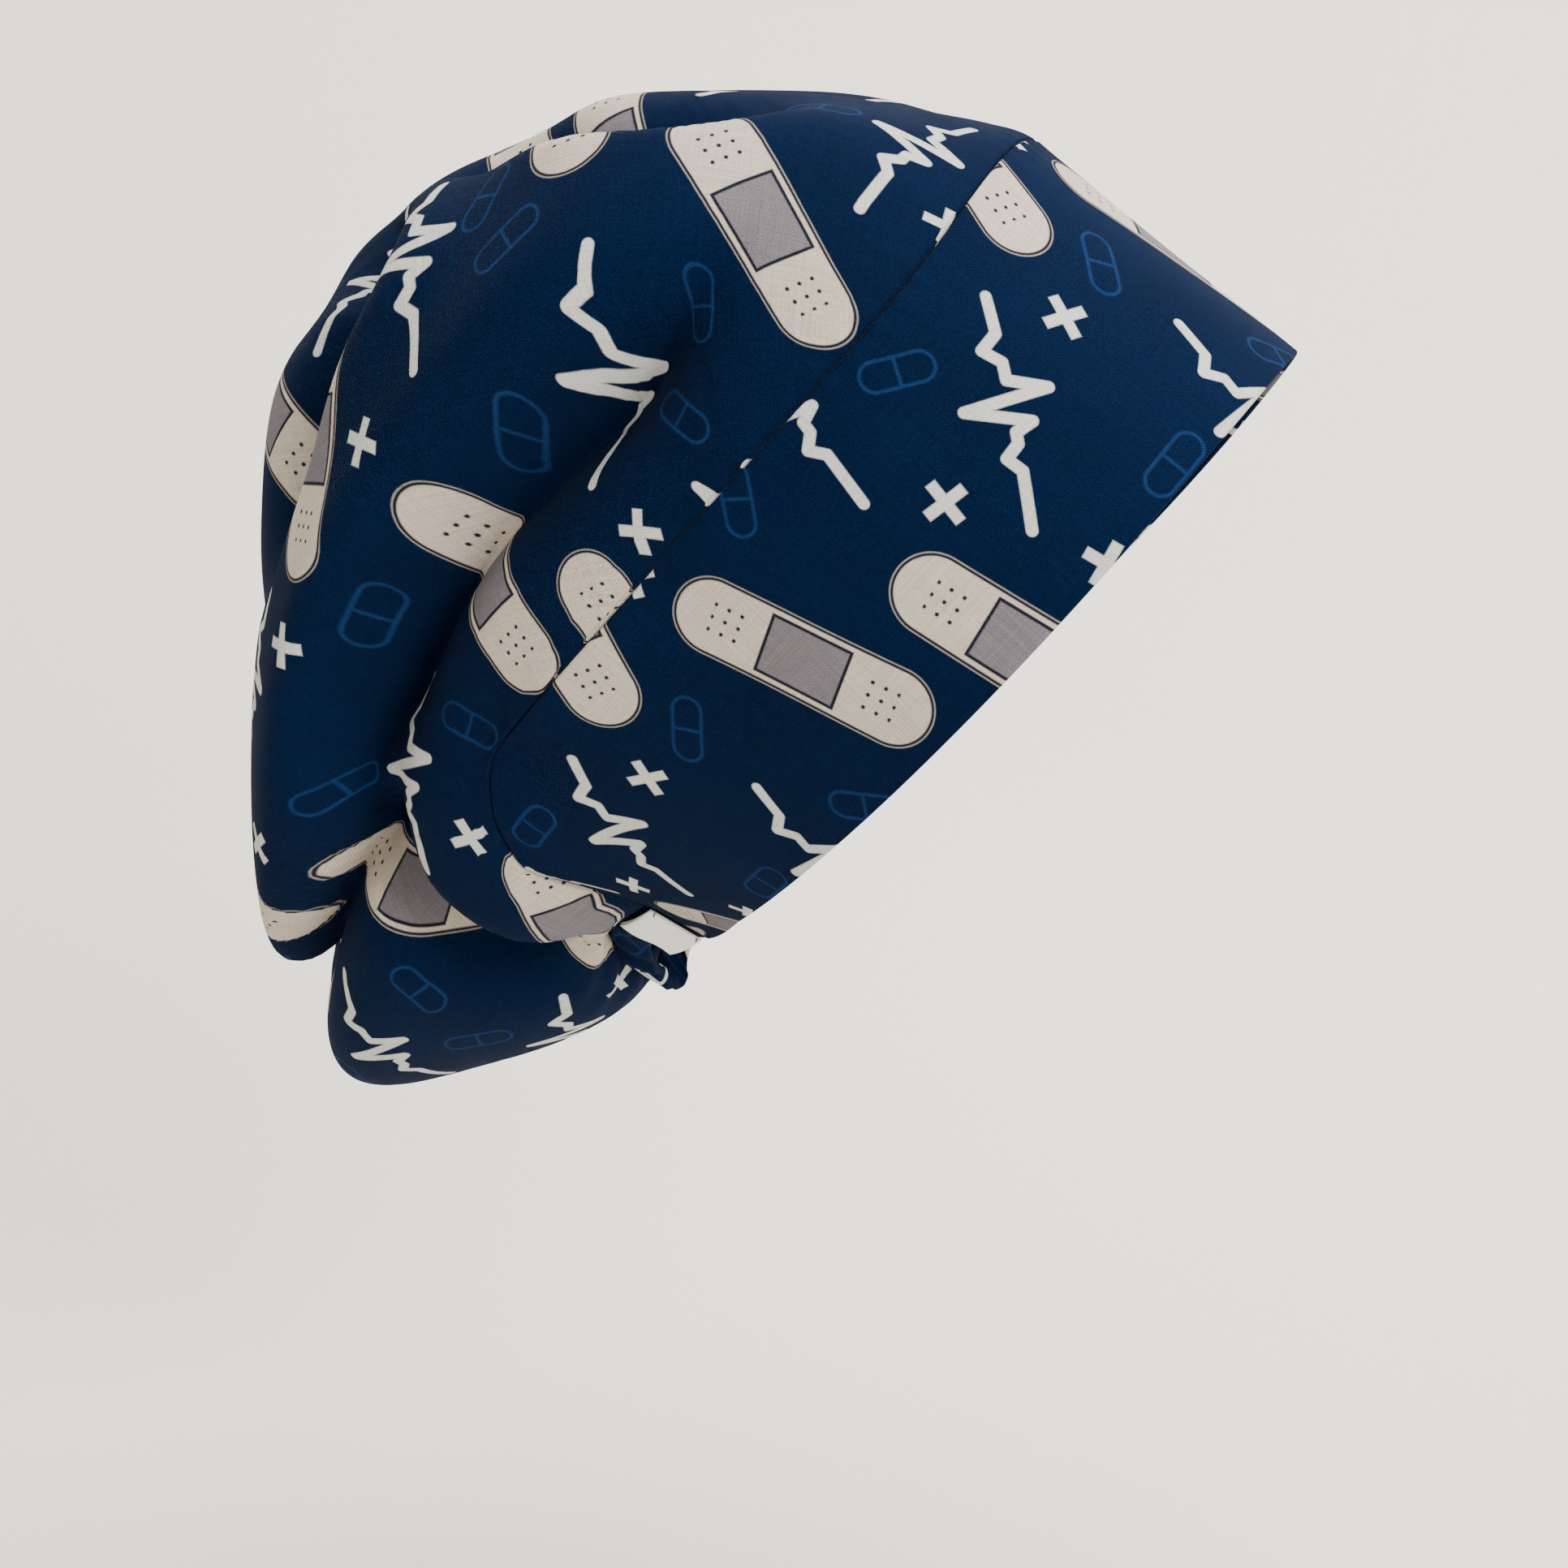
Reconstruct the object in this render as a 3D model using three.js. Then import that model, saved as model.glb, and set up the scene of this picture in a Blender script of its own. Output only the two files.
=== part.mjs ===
// A slouched cloth scrub cap as it is worn: a smooth band round the head, a full crown that sags
// into a pouch behind, an elastic casing at the nape and a small folded tag at one end of the band.
// Millimetres. +X is forwards, +Y is the wearer's left, +Z is up. The origin is the middle of the
// head opening, whose plane rises towards the forehead.
import * as THREE from 'three';

// The head opening
const openingLength = 206;
const openingWidth = 152;
const openingTilt = 48.5;
const edgeDip = 6;
const napeRise = 15;

// The band, the nape casing and the seam between band and crown
const bandHeight = 68;
const bandPeak = 12;
const bandFlare = 24;
const bandWall = 1.6;
const bandEnd = 150;
const casingHeight = 16;
const casingWall = 3;
const seamDropStart = 126;
const seamDropEnd = 162;
const seamGap = 0.6;

// The crown
const crownHeight = 192;
const crownWidth = 184;
const pouchReach = 105;
const crownWall = 1.2;
const gatherDepth = 2;
const gatherAngle = 15;
const foldDepth = 20;
const foldWidth = 16;

// The tag
const tagLength = 19;
const tagWidth = 15.5;
const tagWall = 1;
const tagLift = 0.6;
const tagCurl = 0.8;

// Mesh steps
const columns = 72;
const crownRows = 32;
const bandRows = 6;

const degrees = Math.PI / 180;
const halfLength = openingLength / 2;
const halfWidth = openingWidth / 2;
const halfCrown = crownWidth / 2;

// A table's rows as values named by its columns
const named = (names, rows) => rows.map((row) => (
  Object.fromEntries(names.map((name, i) => [name, row[i]]))
));

// The crown's sections, from just above the seam to its closed end. Forward lengths are shares of half
// the opening, rises are shares of the crown's height, spreads are shares of half its width, and
// reaches are shares of the pouch's reach behind the nape. Fullness rounds the pouch out sideways.
const sections = named([
  'frontForward', 'frontRise', 'sideForward', 'sideRise', 'spread', 'reach', 'backRise', 'fullness',
], [
  [0.87, 0.475, -0.15, 0.51, 0.88, 0.48, 0.02, 0.25],
  [0.74, 0.60, -0.23, 0.605, 0.94, 0.84, 0.09, 0.35],
  [0.57, 0.71, -0.27, 0.69, 0.93, 1.17, 0.20, 0.35],
  [0.36, 0.83, -0.31, 0.76, 0.82, 1.12, 0.35, 0.1],
  [0.18, 0.885, -0.37, 0.82, 0.74, 0.67, 0.50, 0],
  [0.02, 0.925, -0.46, 0.865, 0.62, 0.38, 0.68, 0],
  [-0.20, 0.965, -0.55, 0.905, 0.47, 0.08, 0.82, 0],
  [-0.40, 0.985, -0.60, 0.935, 0.30, -0.13, 0.89, 0],
  [-0.53, 0.98, -0.63, 0.955, 0.12, -0.28, 0.94, 0],
]);

// The nape, from the band's end to its middle. The edge's places are shares of half the opening's
// length and width and of the nape's rise. The seam's are steps up from it in casing heights.
const nape = named(['back', 'side', 'rise', 'seamAhead', 'seamAside', 'seamUp'], [
  [0.932, 0.50, 0, -0.06, 0.45, 1.12],
  [1.10, 0.35, 0.80, 0.10, 0.60, 0.80],
  [1.25, 0.17, 0.45, 0.12, 0.45, 0.90],
  [1.32, 0, -0.15, 0.15, 0, 1.0],
]);

// The folds of the drape. Each runs from one place past a second to a third, and a place is an angle
// from the front, in degrees to the wearer's left, and a row: 0 is the lower edge, 1 is the seam and
// the rest are the sections above. A depth sinks the cloth, and one below zero raises it. Depths and
// the widths to the left and right of the run are shares of a full fold's.
const folds = named(['from', 'via', 'to', 'depth', 'left', 'right'], [
  [[-58, 1.5], [-98, 1.85], [-138, 2.9], 0.85, 0.9, 1],
  [[-124, 2.7], [-144, 4.3], [-184, 5.6], 1.1, 1, 1],
  [[-126, 2.6], [-147, 2.8], [-158, 1.6], 0.45, 0.9, 0.8],
  [[-122, 1.3], [-138, 1.7], [-152, 1.6], -0.25, 1.1, 1.1],
  [[-205, 1.2], [-180, 1.1], [-155, 1.2], -0.4, 0.81, 0.81],
  [[-12, 1.8], [-36, 3.6], [-46, 6.0], -0.2, 0.94, 0.94],
  [[-14, 2.6], [-34, 5.0], [-18, 8.0], 0.55, 0.45, 0.9],
  [[10, 2.0], [4, 5.0], [14, 8.4], 0.3, 0.7, 0.7],
  [[-14, 7.9], [-70, 6.0], [-104, 4.9], -0.2, 0.6, 0.5],
  [[4, 8.9], [-74, 6.8], [-122, 5.4], 0.6, 0.42, 0.7],
  [[-176, 8.6], [-160, 7.2], [-162, 6.0], 0.3, 0.69, 0.69],
  [[58, 1.5], [98, 1.9], [138, 2.9], 0.75, 1.1, 0.8],
  [[126, 2.8], [145, 4.2], [174, 5.2], 0.75, 0.94, 0.94],
  [[128, 2.5], [147, 2.7], [157, 1.4], 0.45, 0.75, 0.75],
  [[24, 2.4], [52, 4.8], [64, 8.0], 0.45, 0.9, 0.6],
  [[96, 8.4], [112, 6.8], [122, 5.4], 0.4, 0.75, 0.75],
]);

function smooth(low, high, value) {
  const share = Math.min(1, Math.max(0, (value - low) / (high - low)));
  return share * share * (3 - 2 * share);
}

// The cap's lower edge and seam as far as the band's end. The seam is highest over the forehead and
// drops behind the ears.
function ovalPlace(row, turned) {
  const ahead = Math.cos(turned * degrees);
  const aside = Math.sin(turned * degrees);
  if (row === 0) return [halfLength * ahead, halfWidth * aside, -edgeDip * aside ** 2];
  const flare = 1 + bandFlare / halfLength * smooth(95, 140, turned);
  const lean = ahead > 0 ? 0.92 : 1.05;
  const height = bandHeight + bandPeak * Math.max(0, ahead) ** 4;
  const drop = smooth(seamDropStart, seamDropEnd, turned);
  return [
    halfLength * lean * flare * ahead, halfWidth * 1.04 * flare * aside,
    THREE.MathUtils.lerp(height, casingHeight / 2, drop),
  ];
}

// Knots of the same two lines round the nape, numbered from the band's end
const napeStep = (180 - bandEnd) / (nape.length - 1);
function napeKnot(row, number) {
  if (number < 0) return ovalPlace(row, bandEnd + number * napeStep);
  const side = number < nape.length ? 1 : -1;
  const place = nape[side > 0 ? number : 2 * nape.length - 2 - number];
  return [
    -halfLength * place.back + row * casingHeight * place.seamAhead,
    side * (halfWidth * place.side + row * casingHeight * place.seamAside),
    napeRise * place.rise + row * casingHeight * place.seamUp,
  ];
}

// A smooth curve between the middle two of four places
function between([a, b, c, d], part) {
  return b.map((value, i) => THREE.MathUtils.lerp(value, c[i], part)
    + part * (1 - part) * ((1 - part) * (2 * value - a[i] - c[i])
      + part * (2 * c[i] - value - d[i])) / 2);
}

// One section of the cap at an angle from the front, before any fold
function sectionPoint(row, angle) {
  const ahead = Math.cos(angle);
  const aside = Math.sin(angle);
  if (row < 2) {
    const turned = Math.acos(ahead) / degrees;
    const steps = Math.min(nape.length - 1.001, (turned - bandEnd) / napeStep);
    const first = Math.floor(steps);
    const [x, y, z] = steps < -1 ? ovalPlace(row, turned)
      : between([-1, 0, 1, 2].map((number) => napeKnot(row, first + number)), steps - first);
    return new THREE.Vector3(x, aside < 0 ? -y : y, z);
  }
  const section = sections[row - 2];
  const front = halfLength * section.frontForward;
  const side = halfLength * section.sideForward;
  const back = -halfLength - pouchReach * section.reach;
  const end = ahead > 0 ? section.frontRise : section.backRise;
  return new THREE.Vector3(
    side + ahead * (front - back) / 2 + ahead * ahead * ((front + back) / 2 - side),
    halfCrown * section.spread * aside * (ahead > 0 ? 1 : 1 + section.fullness * ahead * ahead),
    crownHeight * (section.sideRise + (end - section.sideRise) * Math.abs(ahead) ** 2.2),
  );
}

const lastRow = sections.length + 1;

// The smooth cap between the rows. The crown leaves the seam in the band's own direction.
function smoothPoint(row, angle) {
  const start = Math.min(lastRow - 1, Math.max(0, Math.floor(row)));
  const part = row - start;
  const b = sectionPoint(start, angle);
  const c = sectionPoint(start + 1, angle);
  if (start === 0) return b.lerp(c, part);
  const a = start > 1 ? sectionPoint(start - 1, angle) : sectionPoint(0, angle).lerp(b, 0.75);
  const d = sectionPoint(Math.min(lastRow, start + 2), angle);
  return new THREE.Vector3(...between([a, b, c, d].map((place) => place.toArray()), part));
}

// Each fold's line on the smooth cap
const foldSteps = 16;
function foldPoint(fold, share) {
  const [angle, row] = [0, 1].map((i) => {
    const pull = 2 * fold.via[i] - (fold.from[i] + fold.to[i]) / 2;
    return (1 - share) ** 2 * fold.from[i] + 2 * share * (1 - share) * pull + share ** 2 * fold.to[i];
  });
  return smoothPoint(row, angle * degrees);
}
const foldLines = folds.map((fold) => Array.from({ length: foldSteps }, (_, step) => (
  new THREE.Line3(foldPoint(fold, step / foldSteps), foldPoint(fold, (step + 1) / foldSteps))
)));

// Folds sink towards this line inside the cap
const coreRise = 0.35 * crownHeight;
const core = new THREE.Line3(
  new THREE.Vector3(0.2 * halfLength, 0, 0.9 * coreRise),
  new THREE.Vector3(-halfLength - 0.16 * pouchReach, 0, 1.1 * coreRise),
);

// The folded cap at a row and an angle
function capPoint(row, angle) {
  const point = smoothPoint(row, angle);
  const inward = core.closestPointToPoint(point, true, new THREE.Vector3()).sub(point).normalize();
  const place = new THREE.Vector3();
  let sink = 0;
  folds.forEach((fold, index) => {
    let nearest = Infinity;
    let share = 0;
    let leftward = 0;
    foldLines[index].forEach((span, step) => {
      const along = span.closestPointToPointParameter(point, true);
      const offset = point.clone().sub(span.at(along, place));
      if (offset.length() >= nearest) return;
      nearest = offset.length();
      share = (step + along) / foldSteps;
      leftward = offset.cross(span.delta(place)).dot(inward);
    });
    const strength = smooth(0, 0.35, share) * smooth(0, 0.3, 1 - share);
    const width = foldWidth * (leftward > 0 ? fold.left : fold.right);
    sink += foldDepth * fold.depth * strength * Math.exp(-((nearest / width) ** 2));
  });
  const turned = Math.acos(Math.cos(angle)) / degrees;
  const gathered = smooth(bandEnd, bandEnd + 12, turned) * smooth(0.2, 0.9, row)
    * (1 - smooth(1.2, 2.2, row));
  sink += gatherDepth * gathered * Math.cos(angle / degrees / gatherAngle * 2 * Math.PI);
  return point.addScaledVector(inward, sink);
}

// The outward direction, over about one mesh step. At the seam it is shared by the band and the crown.
function outward(row, angle) {
  const turn = 0.05;
  const step = 0.14;
  const here = capPoint(row, angle);
  const round = capPoint(row, angle + turn).sub(capPoint(row, angle - turn));
  const up = new THREE.Vector3();
  if (row < lastRow) up.add(capPoint(Math.min(lastRow, row + step), angle).sub(here).normalize());
  if (row > 0) up.add(here.sub(capPoint(Math.max(0, row - step), angle)).normalize());
  return round.cross(up).normalize();
}

const tilt = openingTilt * degrees;
function toWorld(point) {
  return point.applyAxisAngle(new THREE.Vector3(0, 1, 0), -tilt);
}

// A closed body from a grid of outer points and the same grid of inner points, both as rows of points
function wallBody(outer, inner, ring, capped) {
  const positions = [];
  const index = [];
  const width = outer[0].length;
  const add = (points) => points.map((line) => line.map((point) => {
    positions.push(...toWorld(point.clone()).toArray());
    return positions.length / 3 - 1;
  }));
  const outerIds = add(outer);
  const innerIds = add(inner);
  const quad = (a, b, c, d) => index.push(a, b, c, a, c, d);
  const last = outer.length - 1;
  const spans = ring ? width : width - 1;
  for (let j = 0; j < spans; j += 1) {
    const next = (j + 1) % width;
    for (let i = 0; i < last; i += 1) {
      quad(outerIds[i][j], outerIds[i][next], outerIds[i + 1][next], outerIds[i + 1][j]);
      const [a, b, c, d] = [innerIds[i][j], innerIds[i][next], innerIds[i + 1][next], innerIds[i + 1][j]];
      index.push(a, c, b, a, d, c);
    }
    quad(innerIds[0][j], innerIds[0][next], outerIds[0][next], outerIds[0][j]);
    if (!capped) quad(outerIds[last][j], outerIds[last][next], innerIds[last][next], innerIds[last][j]);
  }
  if (!ring) {
    for (let i = 0; i < last; i += 1) {
      quad(innerIds[i][0], outerIds[i][0], outerIds[i + 1][0], innerIds[i + 1][0]);
      quad(outerIds[i][spans], innerIds[i][spans], innerIds[i + 1][spans], outerIds[i + 1][spans]);
    }
  }
  if (capped) {
    for (const [points, ids, flip] of [[outer, outerIds, false], [inner, innerIds, true]]) {
      const middle = new THREE.Vector3();
      points[last].forEach((point) => middle.addScaledVector(point, 1 / width));
      positions.push(...toWorld(middle).toArray());
      const centre = positions.length / 3 - 1;
      for (let j = 0; j < width; j += 1) {
        const pair = [ids[last][j], ids[last][(j + 1) % width]];
        index.push(centre, ...(flip ? pair.reverse() : pair));
      }
    }
  }
  const geometry = new THREE.BufferGeometry();
  geometry.setAttribute('position', new THREE.Float32BufferAttribute(positions, 3));
  geometry.setIndex(index);
  geometry.computeVertexNormals();
  return geometry;
}

// The cap between two rows at a list of angles, as a wall. A place is a row and an angle.
function capWall(placeAt, steps, angles, wall, ring, capped) {
  const grid = (inset) => Array.from({ length: steps + 1 }, (_, i) => angles.map((angle) => {
    const place = placeAt(i / steps, angle);
    return capPoint(...place).addScaledVector(outward(...place), -inset);
  }));
  return wallBody(grid(0), grid(wall), ring, capped);
}

// More columns behind, where the cloth is gathered
const spread = (turn) => turn + 0.4 * Math.sin(turn);
const allAngles = Array.from({ length: columns }, (_, j) => spread((j / columns * 2 - 1) * Math.PI));
const endGap = seamGap / 2 / halfWidth;
const inFront = allAngles.filter((angle) => Math.abs(angle) < (bandEnd - 1) * degrees);
const behind = allAngles.map((angle) => (angle < 0 ? angle + 2 * Math.PI : angle))
  .filter((angle) => Math.abs(angle - Math.PI) < (179 - bandEnd) * degrees).sort((a, b) => a - b);
const bandAngles = [-bandEnd * degrees + endGap, ...inFront, bandEnd * degrees - endGap];
const casingAngles = [
  bandEnd * degrees + endGap, ...behind, (360 - bandEnd) * degrees - endGap,
];

// A small gap parts the pieces along the seam. It is measured square to the seam, on the crown's side
// of it or the band's.
function seamShift(angle, side) {
  const turn = 0.02;
  const step = 0.02;
  const along = smoothPoint(1, angle + turn).sub(smoothPoint(1, angle - turn)).normalize();
  const across = smoothPoint(1 + side * step, angle).sub(smoothPoint(1, angle)).divideScalar(step);
  return seamGap / 2 / across.cross(along).length();
}

// The crown's rows lie closest together where the pouch folds back
function crownPlace(share, angle) {
  const along = share + 0.06 * Math.sin(2 * Math.PI * share);
  return [THREE.MathUtils.lerp(1 + seamShift(angle, 1), lastRow, along), angle];
}

function bandPlace(share, angle) {
  return [share * (1 - seamShift(angle, -1)), angle];
}

function casingPlace(share, angle) {
  return [share * (1 - 2 * seamShift(angle, -1)), angle];
}

// The tag is sewn in at the end of the band, on the wearer's right, and lies back over the casing
function tagGeometry() {
  const [top, foot] = [1, 0].map((share) => {
    const place = bandPlace(share, bandAngles[0]);
    return capPoint(...place).addScaledVector(outward(...place), tagLift);
  });
  const down = foot.clone().sub(top).normalize();
  const back = new THREE.Vector3(-0.82, 0.48, 0.305);
  back.addScaledVector(down, -back.dot(down)).normalize();
  const face = back.clone().cross(down);
  const start = top.lerp(foot, 0.5).addScaledVector(down, -tagWidth / 2);
  const grid = (lift) => Array.from({ length: 5 }, (_, i) => Array.from({ length: 5 }, (_unused, j) => (
    start.clone().addScaledVector(down, tagWidth * i / 4).addScaledVector(back, tagLength * j / 4)
      .addScaledVector(face, lift + tagCurl * Math.sin(Math.PI * j / 4))
  )));
  return wallBody(grid(tagWall), grid(0), false, false);
}

const cloth = { color: 0x14305f, roughness: 0.9, metalness: 0 };
const pieces = [
  ['crown', capWall(crownPlace, crownRows, allAngles, crownWall, true, true), cloth],
  ['front_band', capWall(bandPlace, bandRows, bandAngles, bandWall, false, false), cloth],
  ['nape_casing', capWall(casingPlace, 3, casingAngles, casingWall, false, false), cloth],
  ['side_tag', tagGeometry(), { color: 0xe8e6df, roughness: 0.8, metalness: 0 }],
];

const cap = new THREE.Group();
cap.name = 'scrub_cap';
for (const [name, geometry, values] of pieces) {
  const mesh = new THREE.Mesh(geometry, new THREE.MeshStandardMaterial(values));
  mesh.name = name;
  cap.add(mesh);
}

export default cap;
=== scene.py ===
import math

import bpy
import numpy as np
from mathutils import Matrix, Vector


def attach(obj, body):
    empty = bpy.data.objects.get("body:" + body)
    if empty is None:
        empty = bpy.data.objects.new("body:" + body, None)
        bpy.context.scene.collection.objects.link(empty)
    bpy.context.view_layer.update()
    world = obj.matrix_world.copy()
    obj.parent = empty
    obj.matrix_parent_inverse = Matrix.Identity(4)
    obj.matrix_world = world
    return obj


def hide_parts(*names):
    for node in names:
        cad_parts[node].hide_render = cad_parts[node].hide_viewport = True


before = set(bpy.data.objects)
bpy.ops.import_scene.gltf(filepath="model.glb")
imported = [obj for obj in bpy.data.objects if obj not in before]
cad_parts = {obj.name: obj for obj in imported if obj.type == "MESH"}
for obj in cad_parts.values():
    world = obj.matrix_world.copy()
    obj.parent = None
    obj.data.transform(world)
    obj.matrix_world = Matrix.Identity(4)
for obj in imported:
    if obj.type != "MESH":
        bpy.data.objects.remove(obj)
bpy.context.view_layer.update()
print("frame loaded")

view = {
    "azimuth": 14,
    "elevation": 15.6,
    "distance": 0.6,
    "imageSize": 1932,  # pixels a side
    "pixelsPerMetre": 4900,  # at the cap's origin
    "originPixel": (1225, 795),
    "sensor": 36,
}


def addCamera(values):
    turn = math.radians(values["azimuth"])
    lift = math.radians(values["elevation"])
    away = Vector((math.sin(turn) * math.cos(lift), -math.cos(turn) * math.cos(lift), math.sin(lift)))
    right = Vector((math.cos(turn), math.sin(turn), 0))
    up = away.cross(right)
    if up.z < 0:
        up.negate()
    middle = values["imageSize"] / 2
    across = (middle - values["originPixel"][0]) / values["pixelsPerMetre"]
    down = (middle - values["originPixel"][1]) / values["pixelsPerMetre"]
    place = away * values["distance"]
    target = right * across - up * down
    camera = bpy.data.cameras.new("photoCamera")
    camera.sensor_width = values["sensor"]
    focal = values["pixelsPerMetre"] * values["distance"]  # pixels
    camera.lens = values["sensor"] * focal / values["imageSize"]
    camera.clip_start = 0.01
    holder = bpy.data.objects.new("photoCamera", camera)
    holder.location = place
    holder.rotation_euler = (target - place).to_track_quat("-Z", "Y").to_euler()
    bpy.context.scene.collection.objects.link(holder)
    bpy.context.scene.camera = holder


addCamera(view)
print("camera set")

cap = {
    "openingLength": 0.206,
    "openingWidth": 0.152,
    "openingTilt": 48.5,
    "edgeDip": 0.006,
    "napeRise": 0.015,
    "bandHeight": 0.068,
    "bandPeak": 0.012,
    "bandFlare": 0.024,
    "flareStart": 95,
    "flareEnd": 140,
    "leanFront": 0.92,  # the seam's run as shares of the lower edge's
    "leanBack": 1.05,
    "seamSpread": 1.04,
    "bandEnd": 150,
    "casingHeight": 0.016,
    "seamDropStart": 126,
    "seamDropEnd": 162,
    "crownHeight": 0.192,
    "crownWidth": 0.184,
    "pouchReach": 0.105,
    "foldDepth": 0.020,
    "foldWidth": 0.016,
}

# Sections of the crown, from just above the seam to its closed end. Forward lengths are shares of half
# the opening, rises of the crown's height, spreads of half its width and reaches of the pouch's reach.
sectionColumns = (
    "frontForward", "frontRise", "sideForward", "sideRise", "spread", "reach", "backRise", "fullness",
)
sections = [dict(zip(sectionColumns, shares)) for shares in (
    (0.87, 0.475, -0.15, 0.51, 0.88, 0.48, 0.02, 0.25),
    (0.74, 0.60, -0.23, 0.605, 0.94, 0.84, 0.09, 0.35),
    (0.57, 0.71, -0.27, 0.69, 0.93, 1.17, 0.20, 0.35),
    (0.36, 0.83, -0.31, 0.76, 0.82, 1.12, 0.35, 0.1),
    (0.18, 0.885, -0.37, 0.82, 0.74, 0.67, 0.50, 0),
    (0.02, 0.925, -0.46, 0.865, 0.62, 0.38, 0.68, 0),
    (-0.20, 0.965, -0.55, 0.905, 0.47, 0.08, 0.82, 0),
    (-0.40, 0.985, -0.60, 0.935, 0.30, -0.13, 0.89, 0),
    (-0.53, 0.98, -0.63, 0.955, 0.12, -0.28, 0.94, 0),
)]
lastRow = len(sections) + 1

# The nape, from the band's end to its middle. The edge's places are shares of half the opening's length
# and width and of the nape's rise. The seam's are steps up from it in casing heights.
napeColumns = ("back", "side", "rise", "seamAhead", "seamAside", "seamUp")
nape = [dict(zip(napeColumns, shares)) for shares in (
    (0.932, 0.50, 0, -0.06, 0.45, 1.12),
    (1.10, 0.35, 0.80, 0.10, 0.60, 0.80),
    (1.25, 0.17, 0.45, 0.12, 0.45, 0.90),
    (1.32, 0, -0.15, 0.15, 0, 1.0),
)]

# Folds of the drape. A place is an angle from the front, to the wearer's left, and a row: 0 is the
# lower edge, 1 the seam and the rest the sections. A depth sinks the cloth, below zero it raises it.
# Depths, and widths to the left and right of the run, are shares of a full fold's.
foldColumns = ("start", "via", "end", "depth", "left", "right")
folds = [dict(zip(foldColumns, row)) for row in (
    ((-52, 2.1), (-95, 3.4), (-140, 3.3), 1.6, 1.4, 0.59),
    ((-124, 2.7), (-143, 4.1), (-184, 5.6), 1.2, 1.1, 0.57),
    ((-126, 3.0), (-143, 2.4), (-155, 1.35), 0.95, 0.5, 1.0),
    ((-122, 1.3), (-138, 1.7), (-152, 1.6), -0.25, 1.1, 1.1),
    ((-205, 1.2), (-180, 1.1), (-155, 1.2), -0.4, 0.81, 0.81),
    ((-12, 1.8), (-36, 3.6), (-46, 6.0), -0.2, 0.94, 0.94),
    ((-16, 3.0), (-38, 5.0), (-18, 7.6), 1.1, 0.42, 1.0),
    ((10, 2.0), (4, 5.0), (14, 8.4), 0.3, 0.7, 0.7),
    ((-14, 7.9), (-70, 6.0), (-104, 4.9), -0.2, 0.6, 0.5),
    ((-4, 8.7), (-74, 6.7), (-122, 5.3), 1.2, 0.42, 0.95),
    ((-176, 8.6), (-160, 7.2), (-162, 6.0), 0.3, 0.69, 0.69),
    ((58, 1.5), (98, 1.9), (138, 2.9), 0.75, 1.1, 0.8),
    ((126, 2.8), (145, 4.2), (174, 5.2), 0.75, 0.94, 0.94),
    ((128, 2.5), (147, 2.7), (157, 1.4), 0.45, 0.75, 0.75),
    ((24, 2.4), (52, 4.8), (64, 8.0), 0.45, 0.9, 0.6),
    ((96, 8.4), (112, 6.8), (122, 5.4), 0.4, 0.75, 0.75),
)]
foldSteps = 16

halfLength = cap["openingLength"] / 2
halfWidth = cap["openingWidth"] / 2
coreRise = 0.35 * cap["crownHeight"]
foldCore = np.array([  # folds sink towards this line
    [0.2 * halfLength, 0, 0.9 * coreRise],
    [-halfLength - 0.16 * cap["pouchReach"], 0, 1.1 * coreRise],
])
napeStep = (180 - cap["bandEnd"]) / (len(nape) - 1)


def smooth(low, high, value):
    share = np.clip((value - low) / (high - low), 0, 1)
    return share * share * (3 - 2 * share)


def turnedFrom(angle):  # degrees away from the front, on either side
    return np.degrees(np.arccos(np.clip(np.cos(angle), -1, 1)))


def ovalPlace(row, turned):  # the lower edge or the seam as far as the band's end
    ahead = np.cos(np.radians(turned))
    aside = np.sin(np.radians(turned))
    if row == 0:
        return np.stack([halfLength * ahead, halfWidth * aside, -cap["edgeDip"] * aside ** 2], -1)
    flare = 1 + cap["bandFlare"] / halfLength * smooth(cap["flareStart"], cap["flareEnd"], turned)
    lean = np.where(ahead > 0, cap["leanFront"], cap["leanBack"])
    height = cap["bandHeight"] + cap["bandPeak"] * np.maximum(0, ahead) ** 4
    drop = smooth(cap["seamDropStart"], cap["seamDropEnd"], turned)
    height = height + (cap["casingHeight"] / 2 - height) * drop
    side = halfWidth * cap["seamSpread"] * flare * aside
    return np.stack([halfLength * lean * flare * ahead, side, height], -1)


def napeKnots(row):  # the same line round the nape, a knot every napeStep degrees
    knots = [ovalPlace(row, np.float64(cap["bandEnd"] - k * napeStep)) for k in (2, 1)]
    for place, side in [(place, 1) for place in nape] + [(place, -1) for place in nape[-2::-1]]:
        knots.append((
            -halfLength * place["back"] + row * cap["casingHeight"] * place["seamAhead"],
            side * (halfWidth * place["side"] + row * cap["casingHeight"] * place["seamAside"]),
            cap["napeRise"] * place["rise"] + row * cap["casingHeight"] * place["seamUp"],
        ))
    return np.array(knots)


rimKnots = [napeKnots(0), napeKnots(1)]


def between(a, b, c, d, part):  # a smooth curve between the middle two of four places
    bend = (1 - part) * (2 * b - a - c) + part * (2 * c - b - d)
    return b + (c - b) * part + part * (1 - part) * bend / 2


def rimPlace(row, angle):  # the lower edge or the seam at each angle
    turned = turnedFrom(angle)
    steps = np.clip((turned - cap["bandEnd"]) / napeStep, -1, len(nape) - 1.001)
    first = np.floor(steps).astype(int)
    knots = [rimKnots[row][first + k] for k in (1, 2, 3, 4)]
    place = between(*knots, (steps - first)[..., None])
    place = np.where((turned < cap["bandEnd"] - napeStep)[..., None], ovalPlace(row, turned), place)
    place[..., 1] *= np.where(np.sin(angle) < 0, -1, 1)
    return place


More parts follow.
